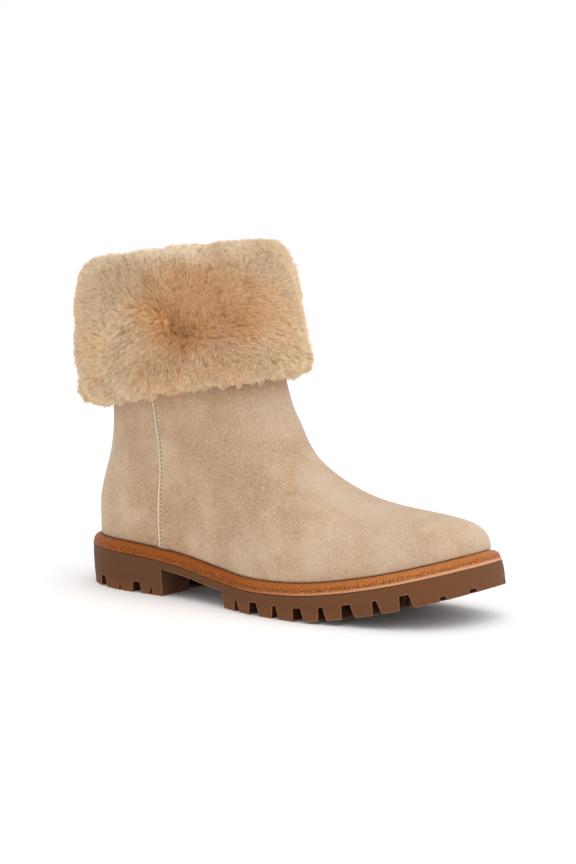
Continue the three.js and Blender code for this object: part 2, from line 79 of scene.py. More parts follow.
def makeCamera():
    back = turnFrom(camera["azimuth"], camera["elevation"])
    lens = bpy.data.cameras.new("camera")
    lens.lens = camera["lens"]
    lens.sensor_width = camera["sensor"]
    lens.shift_x = camera["shiftX"]
    lens.shift_y = camera["shiftY"]
    holder = bpy.data.objects.new("camera", lens)
    holder.location = bootPoint(*camera["target"]) + back * camera["distance"]
    holder.rotation_euler = back.to_track_quat("Z", "Y").to_euler()
    scene.collection.objects.link(holder)
    scene.camera = holder


studio = {
    "floorTone": (0.98, 0.98, 0.98),
    "floorRoughness": 0.7,
    "floorSpecular": 0.2,
    "floorReach": 6.0,
    "worldTone": (1.0, 1.0, 1.0),
    "worldStrength": 1.0,
    "lightTarget": (140, 0, 90),
}
# The broad overhead light, and soft boxes with their width, height and power
overhead = {"azimuth": 60, "elevation": 60, "away": 2.0, "power": 0.85, "softness": 50}
softBoxes = {
    "toeSide": {"azimuth": 100, "elevation": 25, "away": 1.8, "wide": 0.9, "high": 0.9, "power": 2},
}


def makeStudio():
    bm = bmesh.new()
    bmesh.ops.create_grid(bm, x_segments=1, y_segments=1, size=studio["floorReach"])
    finish, _, shader = startFinish("paleFloor", studio["floorRoughness"], studio["floorSpecular"])
    shader.inputs["Base Color"].default_value = (*studio["floorTone"], 1)
    floor = makePiece("floor", bm, finish)

    world = bpy.data.worlds.new("studio")
    world.use_nodes = True
    sky = world.node_tree.nodes["Background"]
    sky.inputs["Color"].default_value = (*studio["worldTone"], 1)
    sky.inputs["Strength"].default_value = studio["worldStrength"]
    scene.world = world

    def hang(name, lamp, place):
        turned = turnFrom(place["azimuth"], place["elevation"])
        holder = bpy.data.objects.new(name, lamp)
        holder.location = bootPoint(*studio["lightTarget"]) + turned * place["away"]
        holder.rotation_euler = turned.to_track_quat("Z", "Y").to_euler()
        scene.collection.objects.link(holder)

    broad = bpy.data.lights.new("overhead", "SUN")
    broad.energy = overhead["power"]
    broad.angle = math.radians(overhead["softness"])
    hang("overhead", broad, overhead)
    for name, box in softBoxes.items():
        lamp = bpy.data.lights.new(name, "AREA")
        lamp.shape = "RECTANGLE"
        lamp.size = box["wide"]
        lamp.size_y = box["high"]
        lamp.energy = box["power"]
        hang(name, lamp, box)
    scene.view_settings.view_transform = "Standard"
    scene.view_settings.look = "None"


# Small helpers for meshes
mergeWithin = 0.02 * mm  # a node's loose triangles are joined where their corners are this near
squareWithin = 1.4  # how far two joined triangles may be from a square, in radians
rayLift = 0.3 * mm  # a ray starts this far off the face that sends it


def nodeTree(name):
    return BVHTree.FromObject(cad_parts[name], bpy.context.evaluated_depsgraph_get())


def nodeCopy(name):
    bm = bmesh.new()
    bm.from_mesh(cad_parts[name].data)
    bmesh.ops.remove_doubles(bm, verts=bm.verts, dist=mergeWithin)
    return bm


def makePiece(name, bm, *finishes):
    mesh = bpy.data.meshes.new(name)
    bm.to_mesh(mesh)
    bm.free()
    for finish in finishes:
        mesh.materials.append(finish)
    piece = bpy.data.objects.new(name, mesh)
    scene.collection.objects.link(piece)
    return piece


# The piece's mesh becomes what its modifiers make of it
def settle(piece):
    before = piece.data
    after = bpy.data.meshes.new_from_object(piece.evaluated_get(bpy.context.evaluated_depsgraph_get()))
    piece.modifiers.clear()
    piece.data = after
    bpy.data.meshes.remove(before)
    after.name = piece.name


def remeshPiece(piece, voxel):
    voxels = piece.modifiers.new("voxels", "REMESH")
    voxels.mode = "VOXEL"
    voxels.voxel_size = voxel
    settle(piece)


def smoothFaces(piece):
    for polygon in piece.data.polygons:
        polygon.use_smooth = True


# Moves each vertex along its normal by what the function gives for its place and normal
def push(piece, howFar):
    vertices = piece.data.vertices
    moved = [v.co + v.normal * howFar(v.co, v.normal) for v in vertices]
    vertices.foreach_set("co", [c for spot in moved for c in spot])
    piece.data.update()


def keepValues(piece, name, values):
    piece.data.attributes.new(name, "FLOAT", "POINT").data.foreach_set("value", values)


# Subdivides the piece. With a few rounds of pulling, the smooth surface runs through its old points.
def roundOver(piece, levels, rounds, pull=0.9, sharpAbove=math.radians(50), crease=1.0):
    bm = bmesh.new()
    bm.from_mesh(piece.data)
    creases = bm.edges.layers.float.new("crease_edge")
    for edge in bm.edges:
        if len(edge.link_faces) == 2 and edge.calc_face_angle(0) > sharpAbove:
            edge[creases] = crease
    wanted = [v.co.copy() for v in bm.verts]
    bm.to_mesh(piece.data)
    bm.free()
    rounding = piece.modifiers.new("rounding", "SUBSURF")
    rounding.levels = rounding.render_levels = levels
    for _ in range(rounds):
        shaped = piece.evaluated_get(bpy.context.evaluated_depsgraph_get()).data.vertices
        pulled = [v.co + (wanted[i] - shaped[i].co) * pull for i, v in enumerate(piece.data.vertices)]
        piece.data.vertices.foreach_set("co", [c for spot in pulled for c in spot])
        piece.data.update()
    settle(piece)


def hardEdges(bm, above):
    for face in bm.faces:
        face.smooth = True
    for edge in bm.edges:
        edge.smooth = len(edge.link_faces) == 2 and edge.calc_face_angle(0) < above


# Small helpers for materials. A noise is its scale, detail and roughness.
noiseSpan = (0.3, 0.7)  # nearly all of a noise lies between these


def startFinish(name, roughness=0.5, specular=0.5):
    finish = bpy.data.materials.new(name)
    finish.use_nodes = True
    tree = finish.node_tree
    shader = tree.nodes["Principled BSDF"]
    shader.inputs["Roughness"].default_value = roughness
    shader.inputs["Specular IOR Level"].default_value = specular
    return finish, tree, shader


def add(tree, kind, sockets=None, **settings):
    made = tree.nodes.new(kind)
    for key, value in settings.items():
        setattr(made, key, value)
    for key, value in (sockets or {}).items():
        if isinstance(value, bpy.types.NodeSocket):
            tree.links.new(value, made.inputs[key])
        else:
            made.inputs[key].default_value = value
    return made


def objectPlace(tree):
    return add(tree, "ShaderNodeTexCoord").outputs["Object"]


def attribute(tree, name):
    return add(tree, "ShaderNodeAttribute", attribute_name=name).outputs["Fac"]


def grain(tree, where, scale, detail=2.0, rough=0.5):
    sockets = {"Vector": where, "Scale": scale, "Detail": detail, "Roughness": rough}
    return add(tree, "ShaderNodeTexNoise", sockets).outputs["Fac"]


def combine(tree, a, operation, b=0.0):
    return add(tree, "ShaderNodeMath", {0: a, 1: b}, operation=operation).outputs["Value"]


def dim(tree, colour, factor):
    made = add(tree, "ShaderNodeVectorMath", {0: colour, "Scale": factor}, operation="SCALE")
    return made.outputs["Vector"]


# Colour ramp from a list of (place, colour)
def ramp(tree, value, stops):
    made = add(tree, "ShaderNodeValToRGB", {"Fac": value})
    elements = made.color_ramp.elements
    while len(elements) > 1:
        elements.remove(elements[-1])
    elements[0].position = stops[0][0]
    elements[0].color = (*stops[0][1], 1)
    for place, colour in stops[1:]:
        elements.new(place).color = (*colour, 1)
    return made.outputs["Color"]


# Runs from low to high while the value runs between the last two numbers. A fade is these four numbers.
def spread(tree, value, low, high, fromLow=0.0, fromHigh=1.0):
    made = add(tree, "ShaderNodeMapRange", {
        "Value": value, "From Min": fromLow, "From Max": fromHigh, "To Min": low, "To Max": high})
    return made.outputs["Result"]


# Rises from 0 to the share between the first two values and falls back between the last two
def window(tree, value, start, full, fade, end, share):
    up = spread(tree, value, 0.0, share, start, full)
    down = spread(tree, value, 1.0, 0.0, fade, end)
    return combine(tree, up, "MULTIPLY", down)


def blendColours(tree, a, b, share):
    made = add(tree, "ShaderNodeMix", data_type="RGBA")
    for socket, value in (("Factor_Float", share), ("A_Color", a), ("B_Color", b)):
        target = next(s for s in made.inputs if s.identifier == socket)
        if isinstance(value, bpy.types.NodeSocket):
            tree.links.new(value, target)
        else:
            target.default_value = (*value, 1)
    return next(s for s in made.outputs if s.identifier == "Result_Color")


softEdge = {
    "grain": 900.0,  # scale of the noise at the edge, for a reach of one millimetre
    "uneven": 0.3,
    "core": 0.1,  # share of the reach that keeps its full tone
}


# A place's share at its centre, falling softly to 0 at its reach, with an uneven edge
def nearTo(tree, where, place):
    far = add(tree, "ShaderNodeVectorMath", {0: where, 1: bootPoint(*place["at"])}, operation="DISTANCE")
    waves = grain(tree, where, softEdge["grain"] / place["reach"])
    uneven = spread(tree, waves, 1 - softEdge["uneven"], 1 + softEdge["uneven"], *noiseSpan)
    reach = place["reach"] * mm
    made = add(tree, "ShaderNodeMapRange", {
        "Value": combine(tree, far.outputs["Value"], "MULTIPLY", uneven),
        "From Min": reach * softEdge["core"], "From Max": reach,
        "To Min": place["share"], "To Max": 0.0}, interpolation_type="SMOOTHSTEP")
    return made.outputs["Result"]


def bump(tree, height, depth):
    return add(tree, "ShaderNodeBump", {"Height": height, "Distance": depth}).outputs["Normal"]


makeCamera()
makeStudio()
print("camera, floor and lights are ready")


# Where the front panel's raw edge runs, in millimetres, and what is sewn along it
seam = {
    "fromHeel": 72.0,
    "lean": 2.0,  # towards the toe, over the height after it
    "leanOver": 165.0,
    "leanFrom": 30.0,
    "low": 31.0,
    "high": 146.0,
    "shaftHigh": 200.0,
    "outside": 90,  # clear of the upper on either side
    "step": 2.6,  # one stitch
    "edge": (0.62, 0.66, 0.45),  # share of a step, then millimetres
    "edgeAhead": 0.75,
    "edgeOut": 0.05,
    "edgeUneven": 0.12,
    "edgeGrain": 900,
    "holeAhead": 2.4,
    "hole": (0.62, 0.42, 0.2),
    "thread": (0.95, 0.4, 0.3),
    "wobble": 0.25,
    "wobbleGrain": 260.0,
    # Bands of painted shadow behind the raised edge and painted highlight on the ridge ahead of it: start,
    # full, fade and end ahead of the edge, and their share
    "paintedShadowBand": (-2.0, -1.0, 0.1, 0.3, 0.85),
    "paintedHighlightBand": (0.2, 0.8, 2.0, 4.6, 0.6),
    # Name, tone and roughness of each finish
    "finishes": {
        "seamEdge": ("rawEdge", (0.82, 0.66, 0.48), 0.9),
        "stitchHoleShade": ("holeShade", (0.10, 0.055, 0.03), 1.0),
        "seamThread": ("thread", (0.64, 0.48, 0.32), 0.7),
    },
    "weave": (1100.0, 2.0, 0.6),
    "weaveShade": 0.78,
}

# Suede upper
suede = {
    "shade": (0.39, 0.215, 0.098),
    "body": (0.49, 0.297, 0.158),
    "light": (0.59, 0.415, 0.27),
    "paintedHighlight": (0.60, 0.475, 0.355),
    "seamPaintedShadow": (0.20, 0.105, 0.05),
    "seamPaintedHighlight": (0.56, 0.42, 0.30),
    "paintedHemShadow": (0.47, 0.21, 0.07),
    "foot": (0.22, 0.085, 0.025),
    "napPale": (0.735, 0.555, 0.39),
    "napShade": 0.79,  # share of the tone that is left between the pale hairs
    "napDepth": 0.25 * mm,
    "patches": (14.0, 5.0, 0.6),
    "clouds": (48.0, 3.0, 0.55),
    "nap": (2000.0, 2.0, 0.65),
    "toneFade": (0.0, 1.0, 0.82, 1.18),
    "napFade": (0.0, 0.6, 0.39, 0.61),
    "hemShadowFade": (0.9, 0.0, 0.0, 14.0 * mm),  # painted shadow under the cuff, by the distance to the cuff
    "footShadeFade": (0.7, 0.0, 0.3 * mm, 1.4 * mm),  # painted shade where the upper meets the midsole, by the distance to the midsole
    "roughness": 0.9,
    "specular": 0.15,
    "sheen": 0.32,
    "sheenRoughness": 0.5,
    "sheenTint": (1.0, 0.97, 0.92, 1),
    "waveDepth": 0.45 * mm,
    "waveScale": 16.0,
    "fineWaveDepth": 0.4,  # share of the broad waves
    "fineWaveScale": 2.7,
    "waveLow": 40 * mm,  # the waves start here and are full a rise higher
    "waveRise": 30 * mm,
    "joinWithin": 0.9,
}
# Places where highlights and shade are painted on the nap: centre and reach in millimetres, share of the new
# tone
paintedLightPlaces = [
    {"at": (177, -13, 78), "reach": 17, "tone": "paintedHighlight", "share": 0.7},
    {"at": (190, -15, 71), "reach": 17, "tone": "paintedHighlight", "share": 0.7},
    {"at": (120, -12, 96), "reach": 30, "tone": "light", "share": 0.6},
    {"at": (262, 0, 50), "reach": 18, "tone": "paintedHighlight", "share": 0.3},
    {"at": (205, -42, 36), "reach": 26, "tone": "paintedHighlight", "share": 0.3},
    {"at": (20, -26, 40), "reach": 24, "tone": "paintedHighlight", "share": 0.2},
    {"at": (212, 4, 68), "reach": 14, "tone": "shade", "share": 0.5},
    {"at": (150, -38, 44), "reach": 26, "tone": "shade", "share": 0.45},
    {"at": (50, -30, 84), "reach": 26, "tone": "shade", "share": 0.4},
    {"at": (182, 22, 66), "reach": 22, "tone": "paintedHighlight", "share": 0.4},
    {"at": (60, 30, 100), "reach": 30, "tone": "shade", "share": 0.4},
    {"at": (138, -4, 110), "reach": 36, "tone": "paintedHighlight", "share": 0.5},
    {"at": (226, -20, 58), "reach": 36, "tone": "paintedHighlight", "share": 0.5},
    {"at": (245, -24, 34), "reach": 30, "tone": "paintedHighlight", "share": 0.5},
    {"at": (265, 5, 42), "reach": 26, "tone": "paintedHighlight", "share": 0.3},
    {"at": (235, 2, 62), "reach": 16, "tone": "shade", "share": 0.5},
]
# The middle of the boot's hollow, from the opening down to the toe. A face that looks at it is lining.
hollow = [bootPoint(*spot) for spot in ((70, 0, 230), (75, 0, 70), (150, 0, 40), (262, 8, 25))]
lining = {
    "tones": [(0.3, (0.42, 0.27, 0.15)), (0.5, (0.66, 0.5, 0.34)), (0.7, (0.8, 0.68, 0.52))],
    "curls": (260.0, 3.0, 0.6),
    "curlDepth": 1.6 * mm,
    "roughness": 0.95,
    "specular": 0.15,
    "sheen": 0.4,
}


# The seam's place from the back of the heel at a height, in millimetres
def seamAt(height):
    return seam["fromHeel"] + seam["lean"] * (height - seam["leanFrom"]) / seam["leanOver"]


# Millimetres from the back edge of the front panel, ahead being towards the toe
def aheadOfSeam(tree, where):
    axes = add(tree, "ShaderNodeSeparateXYZ", {"Vector": where})
    foot, top = (heelBack + seamAt(z) * mm for z in (0, seam["shaftHigh"]))
    line = spread(tree, axes.outputs["Z"], foot, top, 0.0, seam["shaftHigh"] * mm)
    ahead = combine(tree, axes.outputs["X"], "SUBTRACT", line)
    reach = seam["wobble"] * mm
    wobble = spread(tree, grain(tree, where, seam["wobbleGrain"], 1.0), -reach, reach, *noiseSpan)
    return combine(tree, combine(tree, ahead, "ADD", wobble), "MULTIPLY", 1 / mm)


def suedeFinish():
    finish, tree, shader = startFinish("sandSuede", suede["roughness"], suede["specular"])
    where = objectPlace(tree)
    patches, clouds, nap = (grain(tree, where, *suede[name]) for name in ("patches", "clouds", "nap"))
    tone = spread(tree, combine(tree, patches, "ADD", clouds), *suede["toneFade"])
    base = ramp(tree, tone, [(0.0, suede["shade"]), (0.5, suede["body"]), (1.0, suede["light"])])
    # Painted highlights and painted shade on the nap, place by place
    for place in paintedLightPlaces:
        base = blendColours(tree, base, suede[place["tone"]], nearTo(tree, where, place))
    ahead = aheadOfSeam(tree, where)
    # Painted shadow behind the front panel's raised edge, and a painted highlight on the ridge ahead of it
    base = blendColours(tree, base, suede["seamPaintedShadow"], window(tree, ahead, *seam["paintedShadowBand"]))
    base = blendColours(tree, base, suede["seamPaintedHighlight"], window(tree, ahead, *seam["paintedHighlightBand"]))
    # Painted shadow on the suede under the cuff
    paintedHemShadow = spread(tree, attribute(tree, "hem"), *suede["hemShadowFade"])
    base = dim(tree, blendColours(tree, base, suede["paintedHemShadow"], paintedHemShadow), suede["napShade"])
    base = blendColours(tree, base, suede["napPale"], spread(tree, nap, *suede["napFade"]))
    # Painted shade along the foot of the upper where it meets the midsole
    footShade = spread(tree, attribute(tree, "foot"), *suede["footShadeFade"])
    base = blendColours(tree, base, suede["foot"], footShade)
    tree.links.new(base, shader.inputs["Base Color"])
    shader.inputs["Sheen Weight"].default_value = suede["sheen"]
    shader.inputs["Sheen Roughness"].default_value = suede["sheenRoughness"]
    shader.inputs["Sheen Tint"].default_value = suede["sheenTint"]
    tree.links.new(bump(tree, nap, suede["napDepth"]), shader.inputs["Normal"])
    return finish


def fleeceLiningFinish():
    finish, tree, shader = startFinish("liningFleece", lining["roughness"], lining["specular"])
    curls = grain(tree, objectPlace(tree), *lining["curls"])
    tree.links.new(ramp(tree, curls, lining["tones"]), shader.inputs["Base Color"])
    shader.inputs["Sheen Weight"].default_value = lining["sheen"]
    tree.links.new(bump(tree, curls, lining["curlDepth"]), shader.inputs["Normal"])
    return finish


upperTree, cuffTree, midsoleTree, outsoleTree = map(nodeTree, ("upper", "cuff", "midsole", "outsole"))


def looksInside(spot, normal):
    nearest = []
    for start, end in zip(hollow, hollow[1:]):
        share = intersect_point_line(spot, start, end)[1]
        nearest.append(start.lerp(end, max(0.0, min(1.0, share))))
    return normal.dot(min(nearest, key=lambda point: (point - spot).length) - spot) > 0


def makeUpper():
    bm = nodeCopy("upper")
    bmesh.ops.join_triangles(bm, faces=bm.faces, angle_face_threshold=suede["joinWithin"],
                             angle_shape_threshold=squareWithin)
    bmesh.ops.recalc_face_normals(bm, faces=bm.faces)
    for face in bm.faces:
        face.smooth = True
        face.material_index = 1 if looksInside(face.calc_center_median(), face.normal) else 0
    piece = makePiece("suedeUpper", bm, suedeFinish(), fleeceLiningFinish())
    roundOver(piece, levels=2, rounds=4)

    def wave(spot, _):
        broad = noise.noise(spot * suede["waveScale"])
        fine = noise.noise(spot * suede["waveScale"] * suede["fineWaveScale"])
        full = max(0.0, min(1.0, (spot.z - suede["waveLow"]) / suede["waveRise"]))
        return (broad + suede["fineWaveDepth"] * fine) * suede["waveDepth"] * full

    push(piece, wave)
    for name, other in (("hem", cuffTree), ("foot", midsoleTree)):
        keepValues(piece, name, [other.find_nearest(v.co)[3] for v in piece.data.vertices])
    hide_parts("upper")
    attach(piece, "root")
    return piece


upperPiece = makeUpper()
print("upper is ready:", len(upperPiece.data.polygons), "faces")


# Leather midsole with the welt's round edge. Heights are over the rubber.
welt = {
    "side": (0.28, 0.075, 0.011),
    "front": (0.42, 0.145, 0.038),
    "sideLipHighlight": (0.33, 0.115, 0.04),
    "lipHighlight": (0.62, 0.32, 0.19),
    "hollowShade": (0.12, 0.025, 0.003),
    "line": (0.13, 0.036, 0.008),
    "frontFrom": 140 * mm,
    "frontFull": 245 * mm,
    "fibres": (1150.0, 2.0, 0.8),
    "fibreDepth": 0.3 * mm,
    "blotches": (220.0, 2.0, 0.5),
    "blotchFade": (0.42, 0.58),
    "speckle": 0.45,
    "speckleSpan": (0.84, 1.16),
    "band": 2.6 * mm,  # height of the darkest line of painted shade in the hollow
    "bandFade": (0.75, 0.0, 0.3 * mm, 2.2 * mm),  # away from that line
    "bandBreaks": (1.0, 0.1, 0.42, 0.6),  # by the fibres
    "plainFade": (0.0, 0.75, 4.2 * mm, 5.2 * mm),
    "frontHighlightFade": (0.9, 0.0, 1.0 * mm, 2.3 * mm),
    "lipHighlightFade": (0.8, 0.0, 0.2 * mm, 0.8 * mm),  # painted highlight on the lip where the leather meets the rubber
    "jointShadeFade": (0.9, 0.0, 0.4 * mm, 1.7 * mm),  # painted shade where the leather meets the upper, by the distance to the upper
    "roughness": (0.38, 0.58),
    "specular": 0.1,
    "groove": 2.3 * mm,  # height of the hollow between the round edge and the lip
    "grooveHalf": 1.6 * mm,
    "grooveDepth": 0.35 * mm,
    "grooveBelow": 0.75,  # a face that points up more than this has no groove
    "swell": 0.3 * mm,  # closes the hairline gaps to the upper and the rubber
    "joinWithin": 0.5,
    "edgeCrease": 0.85,
}


def weltFinish():
    finish, tree, shader = startFinish("burnishedLeather", specular=welt["specular"])
    where = objectPlace(tree)
    rise, crease = attribute(tree, "rise"), attribute(tree, "crease")
    forward = add(tree, "ShaderNodeSeparateXYZ", {"Vector": where}).outputs["X"]
    forward = spread(tree, forward, 0.0, 1.0, heelBack + welt["frontFrom"], heelBack + welt["frontFull"])
    fibres, blotches = (grain(tree, where, *welt[name]) for name in ("fibres", "blotches"))
    plain = blendColours(tree, welt["side"], welt["front"], forward)
    tone = combine(tree, fibres, "ADD", spread(tree, blotches, *welt["blotchFade"]))
    speckle = spread(tree, tone, 1 - welt["speckle"], 1 + welt["speckle"], *welt["speckleSpan"])
    # A band of painted shade along the welt's hollow, broken up by the fibres
    away = combine(tree, combine(tree, rise, "SUBTRACT", welt["band"]), "ABSOLUTE")
    breaks = spread(tree, fibres, *welt["bandBreaks"])
    band = combine(tree, spread(tree, away, *welt["bandFade"]), "MULTIPLY", breaks)
    base = blendColours(tree, dim(tree, plain, speckle), welt["hollowShade"], band)
    base = blendColours(tree, base, plain, spread(tree, rise, *welt["plainFade"]))
    # Painted highlight on the lower bulge towards the toe, and on the lip all round
    frontHighlight = combine(tree, spread(tree, rise, *welt["frontHighlightFade"]), "MULTIPLY", forward)
    base = blendColours(tree, base, welt["lipHighlight"], frontHighlight)
    low = blendColours(tree, welt["sideLipHighlight"], welt["lipHighlight"], forward)
    base = blendColours(tree, base, low, spread(tree, rise, *welt["lipHighlightFade"]))
    # Painted shade along the joint with the upper
    base = blendColours(tree, base, welt["line"], spread(tree, crease, *welt["jointShadeFade"]))
    tree.links.new(base, shader.inputs["Base Color"])
    tree.links.new(spread(tree, fibres, *welt["roughness"], *noiseSpan), shader.inputs["Roughness"])
    tree.links.new(bump(tree, fibres, welt["fibreDepth"]), shader.inputs["Normal"])
    return finish


def makeMidsole():
    bm = nodeCopy("midsole")
    bmesh.ops.join_triangles(bm, faces=bm.faces, angle_face_threshold=welt["joinWithin"],
                             angle_shape_threshold=squareWithin)
    for face in bm.faces:
        face.smooth = True
    piece = makePiece("leatherMidsole", bm, weltFinish())
    roundOver(piece, levels=2, rounds=0, crease=welt["edgeCrease"])
    heights = [max(0.0, v.co.z - outsoleTree.find_nearest(v.co)[0].z) for v in piece.data.vertices]
    keepValues(piece, "rise", heights)
    keepValues(piece, "crease", [upperTree.find_nearest(v.co)[3] for v in piece.data.vertices])
    each = iter(heights)  # push asks for the vertices in this order

    def groove(_, normal):
        across = abs(next(each) - welt["groove"]) / welt["grooveHalf"]
        hollowed = max(0.0, 1 - across) * (normal.z < welt["grooveBelow"])
        return welt["swell"] - welt["grooveDepth"] * hollowed

    push(piece, groove)
    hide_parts("midsole")
    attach(piece, "root")


makeMidsole()
print("midsole is ready")


# Rubber outsole
rubber = {
    "body": (0.117, 0.050, 0.022),
    "front": (0.145, 0.058, 0.023),
    "sheenAndWear": (0.22, 0.082, 0.03),
    "rim": (0.25, 0.115, 0.06),
    "rimWorn": (0.42, 0.22, 0.135),
    "deep": (0.05, 0.018, 0.008),
    "deepWorn": (0.10, 0.032, 0.012),
    "frontFrom": 90 * mm,
    "frontFull": 260 * mm,
    "cloud": (40.0, 4.0, 0.6),
    "fine": (1500.0, 2.0, 0.5),
    "fineDepth": 0.05 * mm,
    "sheenAndWearFade": (0.6, 0.0, 0.0, 9 * mm),  # painted sheen with patchy wear, lighter towards the floor, by the height
    "sheenAndWearClouds": (0.5, 1.2, 0.35, 0.65),
    "roughness": (0.5, 0.68),
    "specular": 0.1,
    "rimRound": 0.28 * mm,
    "rimSunk": 0.2 * mm,
    "rimSides": 6,
    "rimAbove": math.radians(45),  # a corner sharper than this has a rim
    "rimShortest": 1.5 * mm,
    "steep": 0.6,  # faces that point up or down more than this are the top and the tread's bottom
    "grooveReach": 20 * mm,  # a face that looks at another one nearer than this lies in a groove
    "flatWithin": math.radians(1.5),
    "hardAbove": math.radians(38),
}


def rubberFinish(name, body, front, sheenAndWear):
    finish, tree, shader = startFinish(name, specular=rubber["specular"])
    where = objectPlace(tree)
    cloud, fine = (grain(tree, where, *rubber[name]) for name in ("cloud", "fine"))
    axes = add(tree, "ShaderNodeSeparateXYZ", {"Vector": where})
    clouds = spread(tree, cloud, *rubber["sheenAndWearClouds"])
    # Lighter and redder towards the floor: painted sheen, with patchy wear
    sheenAndWearShare = combine(tree, spread(tree, axes.outputs["Z"], *rubber["sheenAndWearFade"]), "MULTIPLY", clouds)
    forward = spread(tree, axes.outputs["X"], 0.0, 1.0,
                     heelBack + rubber["frontFrom"], heelBack + rubber["frontFull"])
    base = blendColours(tree, blendColours(tree, body, front, forward), sheenAndWear, sheenAndWearShare)
    tree.links.new(base, shader.inputs["Base Color"])
    tree.links.new(spread(tree, cloud, *rubber["roughness"], *noiseSpan), shader.inputs["Roughness"])
    tree.links.new(bump(tree, fine, rubber["fineDepth"]), shader.inputs["Normal"])
    return finish


# Thin rims along the corners of the tread, in a lighter rubber that is a painted highlight
def makeRims(bm):
    rims = bmesh.new()
    for edge in bm.edges:
        long = edge.calc_length()
        if not edge.is_convex or edge.calc_face_angle(0) < rubber["rimAbove"] or long < rubber["rimShortest"]:
            continue
        if max(f.normal.z for f in edge.link_faces) > rubber["steep"]:
            continue
        low, high = (v.co for v in edge.verts)
        outward = sum((f.normal for f in edge.link_faces), Vector()).normalized()
        middle = (low + high) / 2 - outward * rubber["rimSunk"]
        middle.z = max(middle.z, abs(high.z - low.z) / 2 + rubber["rimRound"])
        turn = (high - low).to_track_quat("Z", "Y").to_matrix().to_4x4()
        bmesh.ops.create_cone(rims, cap_ends=True, segments=rubber["rimSides"], radius1=rubber["rimRound"],
                              radius2=rubber["rimRound"], depth=long,
                              matrix=Matrix.Translation(middle) @ turn)
    for face in rims.faces:
        face.smooth = len(face.verts) == 4
    return rims


def makeOutsole():
    bm = nodeCopy("outsole")
    bmesh.ops.dissolve_limit(bm, angle_limit=rubber["flatWithin"], verts=bm.verts, edges=bm.edges)
    bm.normal_update()
    # Faces in the grooves and faces that look down at the floor take the darker rubber: painted shade
    for face in bm.faces:
        start = face.calc_center_median() + face.normal * rayLift
        facing = outsoleTree.ray_cast(start, face.normal, rubber["grooveReach"])[0]
        if facing or face.normal.z < -rubber["steep"]:
            face.material_index = 1
    rims = makeRims(bm)
    hardEdges(bm, rubber["hardAbove"])
    bmesh.ops.triangulate(bm, faces=bm.faces)
    brown = rubberFinish("brownRubber", rubber["body"], rubber["front"], rubber["sheenAndWear"])
    deep = rubberFinish("grooveShadeRubber", rubber["deep"], rubber["deep"], rubber["deepWorn"])
    piece = makePiece("rubberOutsole", bm, brown, deep)
    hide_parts("outsole")
    # The rims' lighter rubber is a painted highlight on the tread's corners
    sheenAndWear = rubberFinish("rubberRimHighlight", rubber["rim"], rubber["rim"], rubber["rimWorn"])
    edging = makePiece("rubberRimHighlights", rims, sheenAndWear)
    for made in (piece, edging):
        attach(made, "root")
    return piece


outsolePiece = makeOutsole()
print("outsole is ready:", len(outsolePiece.data.polygons), "faces")


# Fleece insole
insole = {
    "voxel": 2.2 * mm,
    "curlScale": 240,
    "curlHigh": 0.6 * mm,
    "sunk": 0.5 * mm,
}


def makeInsole():
    piece = makePiece("fleeceInsole", nodeCopy("insole"), fleeceLiningFinish())
    remeshPiece(piece, insole["voxel"])
    smoothFaces(piece)
    push(piece, lambda spot, _: noise.noise(spot * insole["curlScale"]) * insole["curlHigh"] - insole["sunk"])
    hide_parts("insole")
    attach(piece, "root")


makeInsole()
print("insole is ready")


# Side seams: raw edge, thread, and dark beads that paint the shade in the stitch holes
suedeTree = BVHTree.FromObject(upperPiece, bpy.context.evaluated_depsgraph_get())


def seamFinish(name, colour, roughness, specular=0.3):
    finish, tree, shader = startFinish(name, roughness, specular)
    weave = grain(tree, objectPlace(tree), *seam["weave"])
    darker = tuple(c * seam["weaveShade"] for c in colour)
    low, high = noiseSpan
    tree.links.new(ramp(tree, weave, [(low, darker), (high, colour)]), shader.inputs["Base Color"])
    return finish


# The spot on the upper's outer face at that x and z, on one side, and its normal
def onUpper(x, z, side):
    outside = bootPoint(x, side * seam["outside"], z)
    spot, normal, _, _ = suedeTree.ray_cast(outside, Vector((0, -side, 0)))
    return spot, normal


# A small flattened ball with its sizes along the seam, across it and off the suede
def addBead(bm, spot, turn, sizes, rings=5):
    size = Matrix.Diagonal((*[s * mm for s in sizes], 1))
    bmesh.ops.create_uvsphere(bm, u_segments=8, v_segments=rings, radius=1,
                              matrix=Matrix.Translation(spot) @ turn @ size)


def makeSeams():
    edges, holeShadeBeads, threads = bmesh.new(), bmesh.new(), bmesh.new()
    step = seam["step"]
    length, width, height = seam["edge"]
    for side in (-1, 1):
        for i in range(int((seam["high"] - seam["low"]) / step)):
            z = seam["low"] + i * step
            edgeLine, holeLine = seamAt(z) + seam["edgeAhead"], seamAt(z) + seam["holeAhead"]
            spot, normal = onUpper(edgeLine, z, side)
            above, _ = onUpper(edgeLine, z + step, side)
            if spot is None or above is None:
                print("no upper at", round(edgeLine), round(z))
                continue
            along = (above - spot).normalized()
            across = along.cross(normal).normalized()
            turn = Matrix((along, across, normal)).transposed().to_4x4()
            out = seam["edgeOut"] + seam["edgeUneven"] * noise.noise(spot * seam["edgeGrain"])
            addBead(edges, spot + normal * out * mm, turn, (step * length, width, height), rings=6)
            # A dark bead paints the shade in the stitch hole
            addBead(holeShadeBeads, onUpper(holeLine, z, side)[0], turn, seam["hole"])
            addBead(threads, onUpper(holeLine, z + step / 2, side)[0], turn, seam["thread"])
    for name, bm in (("seamEdge", edges), ("stitchHoleShade", holeShadeBeads), ("seamThread", threads)):
        piece = makePiece(name, bm, seamFinish(*seam["finishes"][name]))
        smoothFaces(piece)
        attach(piece, "root")


makeSeams()
print("seams are ready")


